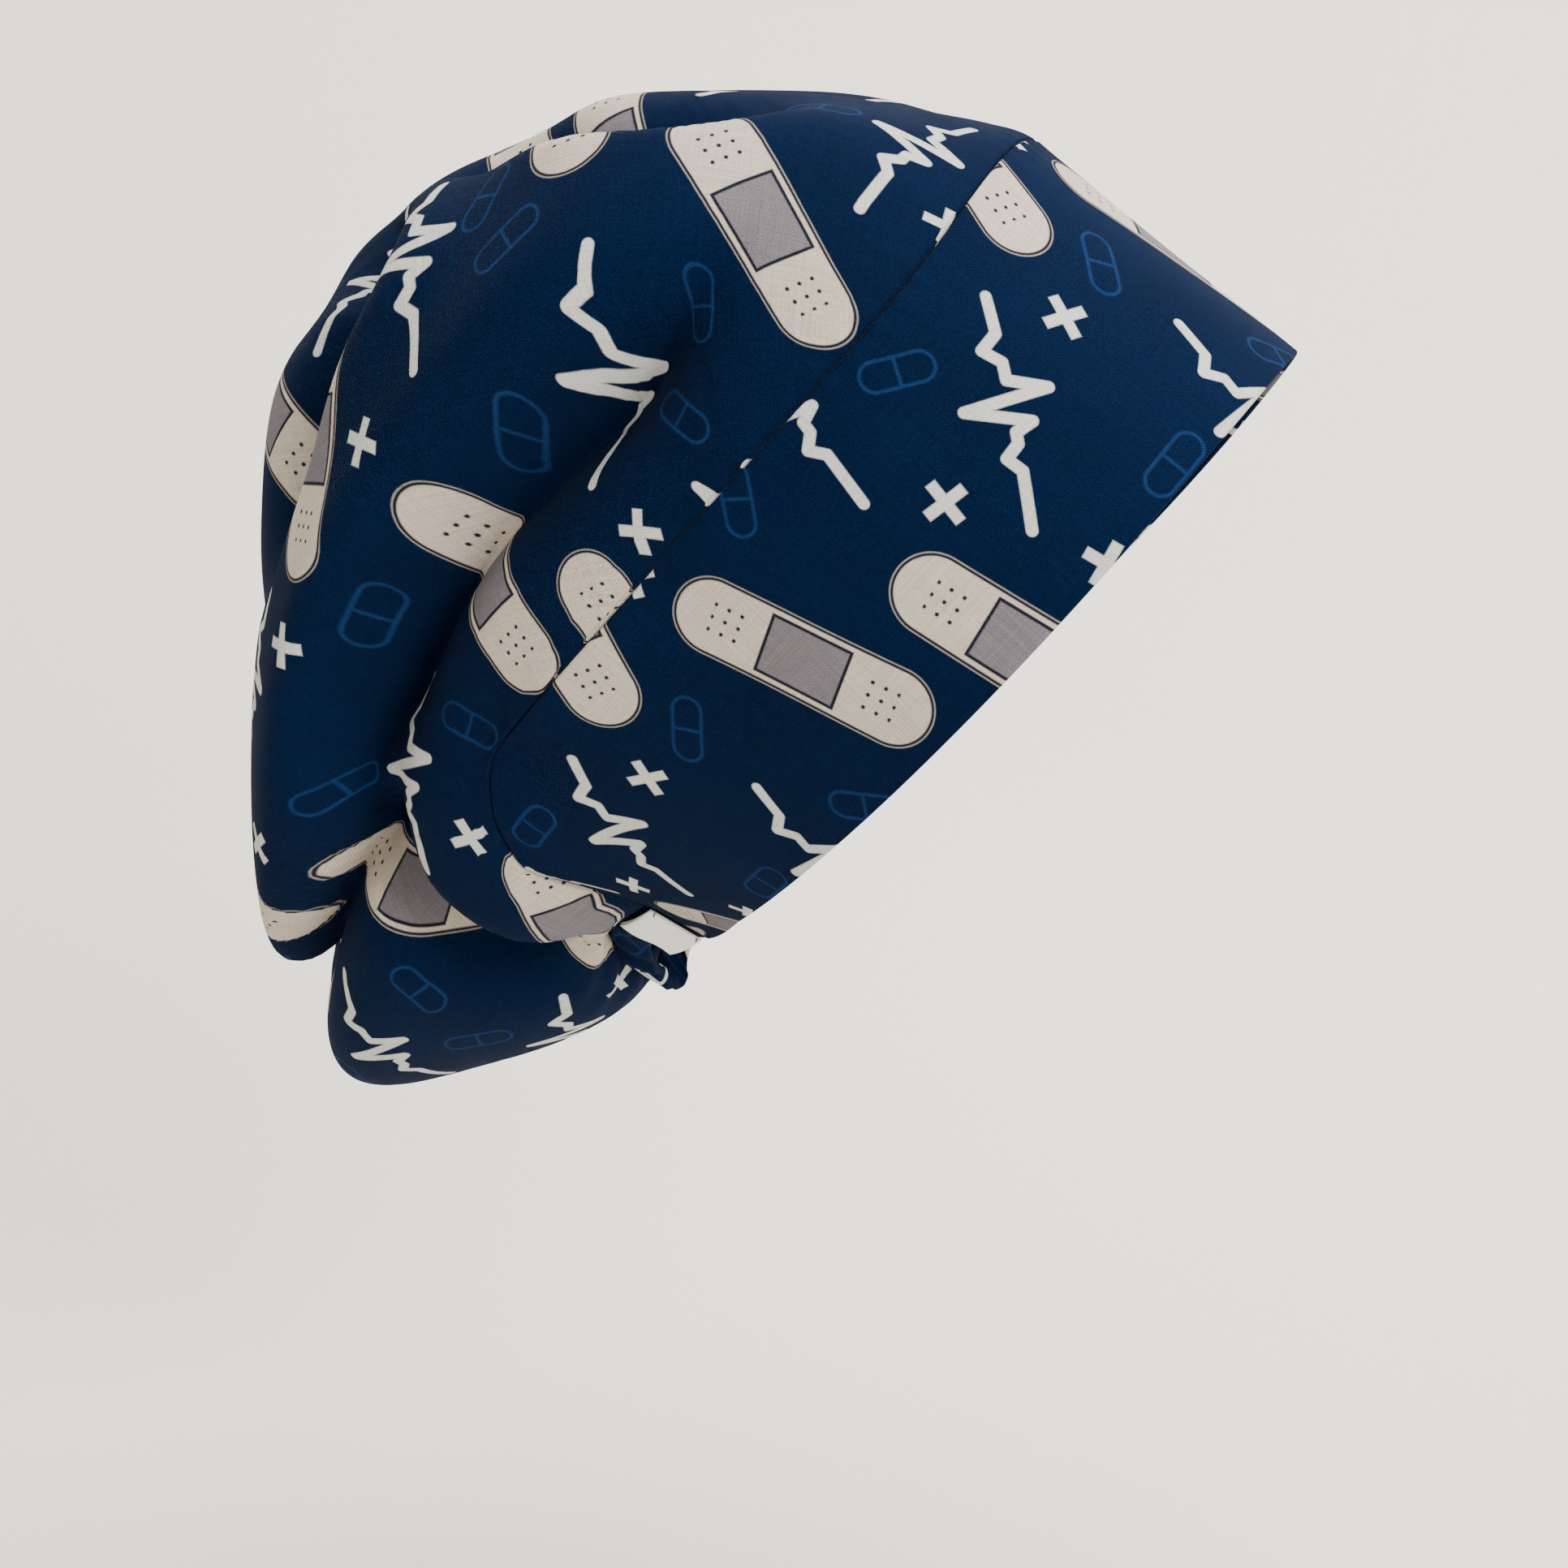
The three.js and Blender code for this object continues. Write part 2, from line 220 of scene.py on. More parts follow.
def sectionStack(angle):  # every section at each angle, as (row, angle, xyz)
    ahead = np.cos(angle)
    aside = np.sin(angle)
    rows = []
    for section in sections:
        front = halfLength * section["frontForward"]
        side = halfLength * section["sideForward"]
        back = -halfLength - cap["pouchReach"] * section["reach"]
        end = np.where(ahead > 0, section["frontRise"], section["backRise"])
        full = np.where(ahead > 0, 1, 1 + section["fullness"] * ahead ** 2)
        rows.append((
            side + ahead * (front - back) / 2 + ahead ** 2 * ((front + back) / 2 - side),
            cap["crownWidth"] / 2 * section["spread"] * aside * full,
            cap["crownHeight"] * (section["sideRise"] + (end - section["sideRise"]) * abs(ahead) ** 2.2),
        ))
    return np.stack([rimPlace(0, angle), rimPlace(1, angle)] + [np.stack(row, -1) for row in rows])


def smoothPoints(row, angle):  # the cap before any fold
    stack = sectionStack(angle)
    start = np.clip(np.floor(row).astype(int), 0, lastRow - 1)
    part = (row - start)[:, None]
    each = np.arange(len(row))
    b = stack[start, each]
    c = stack[start + 1, each]
    ghost = stack[0] * 0.25 + stack[1] * 0.75  # the crown leaves the seam in the band's direction
    a = np.where((start > 1)[:, None], stack[np.maximum(start - 1, 0), each], ghost)
    d = stack[np.minimum(lastRow, start + 2), each]
    return np.where((start > 0)[:, None], between(a, b, c, d, part), b + (c - b) * part)


def foldLine(fold):
    share = np.linspace(0, 1, foldSteps + 1)[:, None]
    start, via, end = (np.array(fold[key], float) for key in ("start", "via", "end"))
    pull = 2 * via - (start + end) / 2
    places = (1 - share) ** 2 * start + 2 * share * (1 - share) * pull + share ** 2 * end
    return smoothPoints(places[:, 1], np.radians(places[:, 0]))


def nearestOn(line, points, inward):  # the offset from a line, how far along it, and the side
    distance = np.full(len(points), np.inf)
    share = np.zeros(len(points))
    offset = np.zeros_like(points)
    leftward = np.zeros(len(points))
    for step, (head, span) in enumerate(zip(line[:-1], np.diff(line, axis=0))):
        along = np.clip((points - head) @ span / (span @ span), 0, 1)
        gap = points - head - along[:, None] * span
        here = np.linalg.norm(gap, axis=1)
        nearer = here < distance
        share = np.where(nearer, (step + along) / (len(line) - 1), share)
        offset = np.where(nearer[:, None], gap, offset)
        leftward = np.where(nearer, (np.cross(gap, span) * inward).sum(1), leftward)
        distance = np.minimum(here, distance)
    return distance, share, offset, leftward


foldLines = [foldLine(fold) for fold in folds]

drape = {
    "crease": 0.14,  # share of a fold's depth that goes into its sharp middle
    "creaseWidth": 0.3,
    "lapUnder": 0.6,  # a side narrower than this share is a lap, which overhangs
    "lapWidth": 0.62,
    "lapReach": 1.15,
    "fadeIn": 0.35,  # shares of a fold's run in which it starts and ends
    "fadeOut": 0.3,
    "swell": 0.0007,  # slow unevenness of the loose cloth
    "swellLengths": (0.017, 0.031, 0.023, 0.027),
    "swellRows": (1, 2.5),
    "gatherDepth": 0.002,
    "gatherAngle": 7.5,
    "gatherDrift": (1.3, 9),  # how unevenly the gathers are spaced, and over how many degrees
    "gatherRows": (0.2, 0.9, 1.2, 2.2),  # where they begin, are full, begin to fade and are gone
    "puckerDepth": 0.00035,
    "puckerReach": 0.010,
    "puckerLengths": (0.0013, 0.011, 0.023),
}


def capPoints(row, angle, folded=1):  # the folded cap, in the opening's own frame
    points = smoothPoints(row, angle)
    core = foldCore[1] - foldCore[0]
    along = np.clip((points - foldCore[0]) @ core / (core @ core), 0, 1)
    inward = foldCore[0] + along[:, None] * core - points
    inward /= np.linalg.norm(inward, axis=1)[:, None]
    sink = np.zeros(len(points))
    shift = np.zeros_like(points)
    for fold, line in zip(folds, foldLines):
        distance, share, offset, leftward = nearestOn(line, points, inward)
        strength = smooth(0, drape["fadeIn"], share) * smooth(0, drape["fadeOut"], 1 - share)
        side = np.where(leftward > 0, fold["left"], fold["right"])
        lapped = (side < drape["lapUnder"]) & (fold["depth"] > 0)
        width = cap["foldWidth"] * side * np.where(lapped, drape["lapWidth"], 1)
        away = distance / width
        profile = np.exp(-away ** 2)
        if fold["depth"] > 0:
            profile += drape["crease"] * np.exp(-(away / drape["creaseWidth"]) ** 2)
            lap = np.where(lapped, drape["lapReach"] * strength * np.exp(-away ** 2), 0)
            shift -= offset * lap[:, None]
        sink += cap["foldDepth"] * fold["depth"] * strength * profile
    x, y, z = points.T
    first, second, third, fourth = drape["swellLengths"]
    waves = np.sin(x / first + 1.7 * np.sin(z / second)) * np.sin(y / third + z / fourth)
    sink += drape["swell"] * waves * smooth(*drape["swellRows"], row)
    degrees = np.degrees(angle)
    gathered = smooth(cap["bandEnd"], cap["seamDropEnd"], turnedFrom(angle))
    begin, full, fade, gone = drape["gatherRows"]
    gathered = gathered * smooth(begin, full, row) * (1 - smooth(fade, gone, row))
    drift, driftAngle = drape["gatherDrift"]
    wave = np.cos(2 * np.pi * degrees / drape["gatherAngle"] + drift * np.sin(degrees / driftAngle))
    sink += drape["gatherDepth"] / 2 * gathered * wave
    return points + (shift + inward * sink[:, None]) * np.reshape(folded, (-1, 1))


def outward(row, angle, turn=0.02, step=0.06):
    around = capPoints(row, angle + turn) - capPoints(row, angle - turn)
    upper = capPoints(np.minimum(lastRow, row + step), angle)
    lower = capPoints(np.maximum(0, row - step), angle)
    normal = np.cross(around, upper - lower)
    return normal / np.linalg.norm(normal, axis=1)[:, None]


def toWorld(points):
    tilt = math.radians(cap["openingTilt"])
    x, y, z = points[..., 0], points[..., 1], points[..., 2]
    ahead = x * math.cos(tilt) - z * math.sin(tilt)
    up = x * math.sin(tilt) + z * math.cos(tilt)
    return np.stack([ahead, y, up], -1)


def rowLength(angle, row):  # metres of cloth in one row step beside the seam
    stack = sectionStack(angle)
    return np.linalg.norm(stack[row] - stack[1], axis=1)


def seamSpeed(angle, side, turn=0.02, step=0.02):  # metres square to the seam in one row
    row = np.ones(len(angle))
    along = smoothPoints(row, angle + turn) - smoothPoints(row, angle - turn)
    along /= np.linalg.norm(along, axis=1)[:, None]
    across = (smoothPoints(row + side * step, angle) - smoothPoints(row, angle)) / step
    return np.linalg.norm(np.cross(across, along), axis=1)


def onGrid(function, *grids):  # calls a function of flat arrays on whole grids
    shape = grids[0].shape
    flat = [np.broadcast_to(grid, shape).ravel() for grid in grids]
    return function(*flat).reshape(*shape, -1)


def seamPucker(row, angle):  # small tucks that the stitching draws up, out of the surface
    away = (row - 1) * np.where(row > 1, rowLength(angle, 2), rowLength(angle, 0))
    metres = angle * halfLength
    short, drift, slow = drape["puckerLengths"]
    tucks = np.sin(metres / short + 2 * np.sin(metres / drift))
    tucks = tucks * (0.55 + 0.45 * np.sin(metres / slow))
    return drape["puckerDepth"] * tucks * np.exp(-abs(away) / drape["puckerReach"] * 2)


def gridFace(width, row, column, nextRow, nextColumn):  # one face of a grid, as places in its list
    low, high = row * width, nextRow * width
    return (low + column, low + nextColumn, high + nextColumn, high + column)


def gridMesh(name, points, faces, uvs, materials):
    mesh = bpy.data.meshes.new(name)
    mesh.from_pydata(points.tolist(), [], faces)
    layer = mesh.uv_layers.new(name="cloth")
    layer.data.foreach_set("uv", np.asarray(uvs, np.float32).ravel())
    for material in materials:
        mesh.materials.append(material)
    mesh.polygons.foreach_set("use_smooth", [True] * len(mesh.polygons))
    mesh.update()
    piece = bpy.data.objects.new(name, mesh)
    bpy.context.scene.collection.objects.link(piece)
    return piece


class Wire:  # one socket of a node tree, with sums written as Python
    def __init__(self, tree, socket):
        self.tree = tree
        self.socket = socket

    def make(self, kind, settings=None, inputs=None, output=0):
        node = self.tree.nodes.new(kind)
        for name, value in (settings or {}).items():
            setattr(node, name, value)
        for name, value in (inputs or {}).items():
            if isinstance(value, Wire):
                self.tree.links.new(value.socket, node.inputs[name])
            else:
                node.inputs[name].default_value = value
        return Wire(self.tree, node.outputs[output])

    def math(self, operation, *values):
        return self.make("ShaderNodeMath", {"operation": operation}, dict(enumerate((self, *values))))

    def vector(self, operation, *values, output=0):
        inputs = dict(enumerate((self, *values)))
        return self.make("ShaderNodeVectorMath", {"operation": operation}, inputs, output)

    def __add__(self, other):
        return self.math("ADD", other)

    __radd__ = __add__

    def __sub__(self, other):
        return self.math("SUBTRACT", other)

    def __rsub__(self, other):
        return self.make("ShaderNodeMath", {"operation": "SUBTRACT"}, {0: other, 1: self})

    def __mul__(self, other):
        return self.math("MULTIPLY", other)

    __rmul__ = __mul__

    def __truediv__(self, other):
        return self.math("DIVIDE", other)

    def __abs__(self):
        return self.math("ABSOLUTE")

    def clamp(self):
        return self.make("ShaderNodeClamp", None, {"Value": self})

    def least(self, other):
        return self.math("MINIMUM", other)

    def most(self, other):
        return self.math("MAXIMUM", other)

    def below(self, other):
        return self.math("LESS_THAN", other)

    def sin(self):
        return self.math("SINE")

    def parts(self):
        node = self.tree.nodes.new("ShaderNodeSeparateXYZ")
        self.tree.links.new(self.socket, node.inputs[0])
        return [Wire(self.tree, output) for output in node.outputs]

    def mixed(self, colour, other):  # self is the share of the other colour
        inputs = {"Factor": self, 6: colour, 7: other}
        return self.make("ShaderNodeMix", {"data_type": "RGBA"}, inputs, 2)

    def inside(self, soft):  # 1 inside an outline whose distance this is
        return (0.5 - self / soft).clamp()


def newMaterial(name):
    material = bpy.data.materials.new(name)
    material.use_nodes = True
    shader = material.node_tree.nodes["Principled BSDF"]
    return material, shader, Wire(material.node_tree, None)


def linear(colour):  # an sRGB colour out of 255, as the shader wants it
    shares = [value / 255 for value in colour]
    return [s / 12.92 if s <= 0.04045 else ((s + 0.055) / 1.055) ** 2.4 for s in shares] + [1]


cotton = {
    "navy": (3, 23, 54),
    "navyDeep": (2, 17, 42),
    "cream": (190, 179, 166),
    "padGrey": (112, 108, 114),
    "line": (26, 28, 40),
    "white": (196, 196, 193),
    "faint": (20, 48, 90),
    "reverse": (40, 56, 90),
    "threadPitch": 0.52,  # millimetres
    "threadStretch": (0.05, 2.6),  # noise drawn out along a thread and squeezed across it
    "cloud": (0.03, 3),  # scale and detail of the colour's slow unevenness
    "reverseCloud": (0.05, 4),
    "roughness": 0.88,
    "specular": 0.04,
    "sheen": 0.008,
    "sheenRoughness": 0.4,
    "paintedCrossingShade": 0.16,  # painted shade from the weave's raised crossings (lighter) and hollows (darker), and the threads' uneven tone: how much each varies the colour
    "threadShade": 1.1,
    "baseShade": 0.43,
    "crossingHeight": 0.5,
    "threadHeight": 1.2,
    "bump": 0.8,
    "bumpDepth": 0.0002,
    "repeat": (156, 144),
}

# One repeat of the print, in millimetres: kind, centre and turn
printPlaces = {
    "plaster": ((19, 14, 110), (142, 62, 66), (56, 126, 101), (104, 87, 126)),
    "pulse": ((94, 17, 49), (62, 53, 78), (22, 89, 94), (132, 121, 72)),
    "cross": ((69, 15, -10), (5, 54, 58), (82, 125, 11), (143, 101, -2), (120, 21, 62)),
    "capsule": (
        (84, 41, -33), (140, 22, 36), (37, 48, 50), (89, 67, 87), (48, 84, 33), (2, 126, 136),
        (39, 99, 71), (109, 128, 1),
    ),
}
printReach = {"plaster": (33, 11), "pulse": (29, 13), "cross": (7, 7), "capsule": (10, 5)}
motif = {  # millimetres, halves of each shape
    "strip": 22,
    "stripRadius": 9.5,
    "pad": (9.5, 7.2),
    "dotPitch": 3.2,
    "dotRadius": 0.5,
    "dotsFrom": 18.5,
    "dotsAlong": 4.2,
    "dotsAcross": 5.6,
    "outline": 0.35,
    "pulseRadius": 1.3,
    "cross": (5.2, 1.3),
    "capsule": 5.2,
    "capsuleRadius": 3.4,
    "capsuleLine": 0.4,
    "capsuleShare": 0.75,
}


def printedAt(place, kind):  # the motif's own coordinates where one lies, and a far point elsewhere
    width, height = cotton["repeat"]
    local = place.make("ShaderNodeCombineXYZ", None, {"X": 1000, "Y": 1000})
    for x, y, turn in printPlaces[kind]:
        moved = place.vector("SUBTRACT", (x, y, 0))
        wrapped = moved.vector("WRAP", (width / 2, height / 2, 1), (-width / 2, -height / 2, -1))
        turned = wrapped.make(
            "ShaderNodeVectorRotate", {"rotation_type": "Z_AXIS"},
            {"Vector": wrapped, "Angle": -math.radians(turn)},
        )
        across, along, _ = turned.vector("ABSOLUTE").parts()
        near = across.below(printReach[kind][0]) * along.below(printReach[kind][1])
        inputs = {"Factor": near, 4: local, 5: turned}
        local = near.make("ShaderNodeMix", {"data_type": "VECTOR"}, inputs, 1)
    x, y, _ = local.parts()
    return x, y


def capsuleShape(x, y, half, radius):  # distance from a bar with round ends
    beyond = (abs(x) - half).most(0)
    return (beyond * beyond + y * y).math("SQRT") - radius


def boxShape(x, y, half, height):
    return (abs(x) - half).most(abs(y) - height)


def plasterLayers(place, colour):
    x, y = printedAt(place, "plaster")
    outline = capsuleShape(x, y, motif["strip"], motif["stripRadius"])
    pad = boxShape(x, y, *motif["pad"])
    pitch = motif["dotPitch"]
    dotX = x - (x / pitch).math("ROUND") * pitch
    dotY = y - (y / pitch).math("ROUND") * pitch
    dots = (dotX * dotX + dotY * dotY).math("SQRT") - motif["dotRadius"]
    strip = (abs(x) - motif["dotsFrom"]).math("ABSOLUTE") - motif["dotsAlong"]
    holes = dots.most(strip).most(abs(y) - motif["dotsAcross"])
    colour = outline.inside(0.5).mixed(colour, linear(cotton["cream"]))
    colour = pad.inside(0.4).mixed(colour, linear(cotton["padGrey"]))
    rim = (abs(pad) - 0.4).least(abs(outline + 0.5) - motif["outline"])
    colour = rim.least(holes).inside(0.35).mixed(colour, linear(cotton["line"]))
    return colour


def pulseLayer(place, colour):
    x, y = printedAt(place, "pulse")
    turns = ((-26, 0), (-13, 0), (-10, 3), (-7, 0), (-4.5, 0), (-2.5, -4), (1, 10.5), (4.5, -9),
             (7, 0), (11, 0), (14, 4), (17.5, 0), (26, 0))
    nearest = None
    for (x0, y0), (x1, y1) in zip(turns, turns[1:]):
        runX, runY = x1 - x0, y1 - y0
        fromX, fromY = x - x0, y - y0
        along = ((fromX * runX + fromY * runY) / (runX ** 2 + runY ** 2)).clamp()
        offX, offY = fromX - along * runX, fromY - along * runY
        squared = offX * offX + offY * offY
        nearest = squared if nearest is None else nearest.least(squared)
    shape = nearest.math("SQRT") - motif["pulseRadius"]
    return shape.inside(0.4).mixed(colour, linear(cotton["white"]))


def crossLayer(place, colour):
    x, y = printedAt(place, "cross")
    half, arm = motif["cross"]
    shape = boxShape(x, y, half, arm).least(boxShape(x, y, arm, half))
    return shape.inside(0.4).mixed(colour, linear(cotton["white"]))


def capsuleLayer(place, colour):
    x, y = printedAt(place, "capsule")
    radius, thick = motif["capsuleRadius"], motif["capsuleLine"]
    line = abs(capsuleShape(x, y, motif["capsule"], radius)) - thick
    belt = boxShape(x, y, thick, radius)
    share = line.least(belt).inside(0.5) * motif["capsuleShare"]
    return share.mixed(colour, linear(cotton["faint"]))


def weaveOf(place):  # raised crossings of a plain weave, and the unevenness of its threads
    x, y, _ = place.parts()
    turn = 2 * math.pi / cotton["threadPitch"]
    crossing = (x * turn).sin() * (y * turn).sin()
    along, across = cotton["threadStretch"]
    threads = []
    for stretch in ((along, across, 1), (across, along, 1)):
        drawn = place.vector("MULTIPLY", stretch)
        noise = {"Vector": drawn, "Scale": 1, "Detail": 2}
        threads.append(drawn.make("ShaderNodeTexNoise", None, noise))
    return crossing, (threads[0] + threads[1]) * 0.5


def clothFinish(shader, wire, colour, crossing, threads):
    # Painted shade: the weave's raised crossings are painted lighter and the hollows between them
    # darker; the threads add their own uneven tone
    toneAndPaintedShade = crossing * cotton["paintedCrossingShade"] + threads * cotton["threadShade"] + cotton["baseShade"]
    tinted = toneAndPaintedShade.make("ShaderNodeCombineXYZ", None, {"X": toneAndPaintedShade, "Y": toneAndPaintedShade, "Z": toneAndPaintedShade})
    final = tinted.make(
        "ShaderNodeMix", {"data_type": "RGBA", "blend_type": "MULTIPLY"},
        {"Factor": 1.0, 6: colour, 7: tinted}, 2,
    )
    height = crossing * cotton["crossingHeight"] + threads * cotton["threadHeight"]
    bump = height.make(
        "ShaderNodeBump", None,
        {"Strength": cotton["bump"], "Distance": cotton["bumpDepth"], "Height": height},
    )
    tree = wire.tree
    tree.links.new(final.socket, shader.inputs["Base Color"])
    tree.links.new(bump.socket, shader.inputs["Normal"])
    shader.inputs["Roughness"].default_value = cotton["roughness"]
    shader.inputs["Specular IOR Level"].default_value = cotton["specular"]
    shader.inputs["Sheen Weight"].default_value = cotton["sheen"]
    shader.inputs["Sheen Roughness"].default_value = cotton["sheenRoughness"]


def clothPlace(wire):  # the cloth's own flat coordinates, in millimetres
    flat = wire.make("ShaderNodeUVMap", {"uv_map": "cloth"})
    return flat.vector("MULTIPLY", (1000, 1000, 1))


def cottonCloth(name, light, cloud, layers=()):  # one side of the cloth, and its printed layers
    material, shader, wire = newMaterial(name)
    place = clothPlace(wire)
    scale, detail = cloud
    wide = place.make("ShaderNodeTexNoise", None, {"Vector": place, "Scale": scale, "Detail": detail})
    colour = wide.mixed(linear(cotton["navyDeep"]), linear(light))
    for layer in layers:
        colour = layer(place, colour)
    crossing, threads = weaveOf(place)
    clothFinish(shader, wire, colour, crossing, threads)
    return material


printLayers = (capsuleLayer, crossLayer, pulseLayer, plasterLayers)
printed = cottonCloth("printedCotton", cotton["navy"], cotton["cloud"], printLayers)
reverse = cottonCloth("cottonReverse", cotton["reverse"], cotton["reverseCloud"])
print("cotton mixed")

crown = {
    "columns": 264,
    "rows": 168,
    "packed": 0.06,  # rows lie closest together where the pouch folds back
    "cloth": 0.0005,
    "edgeRadius": 0.0009,
    "edgeClear": 0.00006,
    "allowance": 0.0032,  # cloth turned in at the seam
    "seamRows": 1.6,  # nothing is lifted off the surface past this row
    "patternStep": 4,
    "patternFolds": 0.45,  # how far the folds are in where the print is laid out
}


def seamEdge(values):  # distance above the seam and depth below the surface, from the raw edge outwards
    radius = values["edgeRadius"]
    clear = values["edgeClear"]
    turns = np.linspace(0, math.pi / 2, 4)
    rounded = [(clear + radius * (1 - math.cos(t)), radius * (1 - math.sin(t))) for t in turns]
    inside = [(clear, depth) for depth in np.linspace(values["allowance"], radius, 3)[:-1]]
    return inside + rounded


def crownRows(values):  # each row, its depth below the surface and the angles all round
    angle = np.linspace(-math.pi, math.pi, values["columns"] + 1)
    perRow = seamSpeed(angle, 1)
    edge = seamEdge(values)
    rows = [1 + away / perRow for away, _ in edge]
    depths = [depth for _, depth in edge]
    share = np.linspace(0, 1, values["rows"] + 1)[1:]
    share = share + values["packed"] * np.sin(2 * math.pi * share)
    start = rows[-1]
    rows += [start + (lastRow - start) * part for part in share]
    depths += [0] * len(share)
    row = np.stack(rows)
    return row, np.array(depths), np.broadcast_to(angle, row.shape)


def crownGrid(values):
    row, depths, angles = crownRows(values)
    points = onGrid(capPoints, row, angles)
    normal = onGrid(outward, np.minimum(row, values["seamRows"]), angles)
    lift = onGrid(seamPucker, row, angles)[..., 0] - depths[:, None]
    return toWorld(points + normal * lift[..., None])


def looseGrid(values):  # the same grid with its folds let out
    row, _, angles = crownRows(values)
    return toWorld(onGrid(capPoints, row, angles, np.full(row.shape, values["patternFolds"])))


def flatPattern(points, step):  # the grid laid flat with as little stretch as it can have, in metres
    rows = np.unique(np.append(np.arange(0, len(points), step), len(points) - 1))
    columns = np.arange(0, points.shape[1], step)
    coarse = points[np.ix_(rows, columns)]
    height, width = coarse.shape[:2]
    faces = [
        gridFace(width, i, j, i + 1, j + 1)
        for i in range(height - 1) for j in range(width - 1)
    ]
    mesh = bpy.data.meshes.new("pattern")
    mesh.from_pydata(coarse.reshape(-1, 3).tolist(), [], faces)
    mesh.uv_layers.new(name="cloth")
    piece = bpy.data.objects.new("pattern", mesh)
    bpy.context.scene.collection.objects.link(piece)
    bpy.ops.object.select_all(action="DESELECT")
    piece.select_set(True)
    bpy.context.view_layer.objects.active = piece
    bpy.ops.object.mode_set(mode="EDIT")
    bpy.ops.mesh.select_all(action="SELECT")
    bpy.ops.uv.unwrap(method="MINIMUM_STRETCH", iterations=60)
    bpy.ops.object.mode_set(mode="OBJECT")
    flat = np.zeros(len(mesh.loops) * 2)
    mesh.uv_layers[0].data.foreach_get("uv", flat)
    corner = np.zeros(len(mesh.loops), int)
    mesh.loops.foreach_get("vertex_index", corner)
    uv = np.zeros((height * width, 2))
    uv[corner] = flat.reshape(-1, 2)
    corners = uv[np.array(faces)]
    across, along = corners[:, 2] - corners[:, 0], corners[:, 3] - corners[:, 1]
    flatArea = abs(np.sum(across[:, 0] * along[:, 1] - across[:, 1] * along[:, 0])) / 2
    solidArea = sum(face.area for face in mesh.polygons)
    bpy.data.objects.remove(piece)
    uv = (uv * math.sqrt(solidArea / flatArea)).reshape(height, width, 2)
    everyColumn = np.arange(points.shape[1])
    everyRow = np.arange(points.shape[0])
    wide = np.stack([[np.interp(everyColumn, columns, line[:, k]) for k in (0, 1)] for line in uv])
    tall = [[np.interp(everyRow, rows, wide[:, k, j]) for j in everyColumn] for k in (0, 1)]
    print(f"crown pattern {solidArea:.4f} m2, {np.ptp(uv[..., 0]):.3f} x {np.ptp(uv[..., 1]):.3f} m")
    return np.array(tall).transpose(2, 1, 0)


def makeCrown(values):
    points = crownGrid(values)
    pattern = flatPattern(looseGrid(values), values["patternStep"])
    height, width = points.shape[0], values["columns"]
    faces, uvs = [], []
    for i in range(height - 1):
        for j in range(width):
            following = (j + 1) % width
            faces.append(gridFace(width, i, j, i + 1, following))
            uvs += [pattern[i, j], pattern[i, j + 1], pattern[i + 1, j + 1], pattern[i + 1, j]]
    body = points[:, :-1].reshape(-1, 3)
    middle = len(body)
    last = (height - 1) * width
    body = np.vstack([body, points[-1, :-1].mean(0)])
    centre = pattern[-1].mean(0)
    for j in range(width):
        faces.append((last + j, last + (j + 1) % width, middle))
        uvs += [pattern[-1, j], pattern[-1, j + 1], centre]
    piece = gridMesh("crownCloth", body, faces, uvs, [printed, reverse])
    wall = piece.modifiers.new("wall", "SOLIDIFY")
    wall.thickness = values["cloth"]
    wall.offset = -1
    wall.material_offset = 1
    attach(piece, "root")
    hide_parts("crown")
    return piece


crownCloth = makeCrown(crown)
print("crown made")


def tubeOutline(height, wall, faceRows, roundSteps):
    # heights above the lower edge and depths below the surface, down inside a flat tube and up outside
    radius = wall / 2
    turn = np.linspace(0, math.pi, 2 * roundSteps + 1)[1:-1]
    up = [radius + (height - wall) * share for share in np.linspace(0, 1, faceRows)]
    under = [radius - radius * math.sin(t) for t in turn]
    over = [height - radius + radius * math.sin(t) for t in turn]
    rise = np.stack(np.broadcast_arrays(*up[::-1], *under, *up, *over))
    fall = [radius * (1 + math.cos(t)) for t in turn]
    depth = [wall] * faceRows + fall + [0] * faceRows + [wall - value for value in fall]
    return rise, np.array(depth)[:, None]


def tubePiece(name, points, flat, faceRows, roundSteps):  # a flat tube along the columns, ends closed
    around, columns = points.shape[:2]
    faces, uvs = [], []
    for i in range(around):
        following = (i + 1) % around
        for j in range(columns - 1):
            faces.append(gridFace(columns, i, j, following, j + 1))
            uvs += [flat[i, j], flat[i, j + 1], flat[i + 1, j + 1], flat[i + 1, j]]
    outer = faceRows + 2 * roundSteps - 1
    loops = [(k, k + 1, outer + faceRows - 2 - k, outer + faceRows - 1 - k) for k in range(faceRows - 1)]
    loops.append(tuple(range(faceRows - 1, outer + 1)))
    loops.append(tuple(range(outer + faceRows - 1, around)) + (0,))
    for column in (0, columns - 1):
        for loop in loops:
            ring = loop if column == 0 else loop[::-1]
            faces.append(tuple(i * columns + column for i in ring))
            uvs += [flat[i, column] for i in ring]
    return gridMesh(name, points.reshape(-1, 3), faces, uvs, [printed])


def runAlong(points):  # metres along a grid's columns, by its longest row
    steps = np.linalg.norm(np.diff(points, axis=1), axis=2).max(0)
    return np.concatenate([[0], np.cumsum(steps)])


def flatStrip(points, along, start):  # flat coordinates: metres along a tube and round its outline
    steps = np.linalg.norm(np.diff(points, axis=0, append=points[:1]), axis=2).mean(1)
    across = np.concatenate([[0], np.cumsum(steps)])
    return np.stack(np.broadcast_arrays(along[None, :] + start[0], across[:, None] + start[1]), -1)


band = {
    "columns": 260,
    "wall": 0.0014,
    "faceRows": 28,
    "roundSteps": 4,
    "seamClear": 0.00018,
    "endClear": 0.00018,
    "sway": 0.0004,  # slow unevenness of the worn cloth
    "swayWaves": ((7, 2), (3.1, -4)),  # radians per radian round the opening, and per row
    "patternStart": (0.031, 0.052),
}


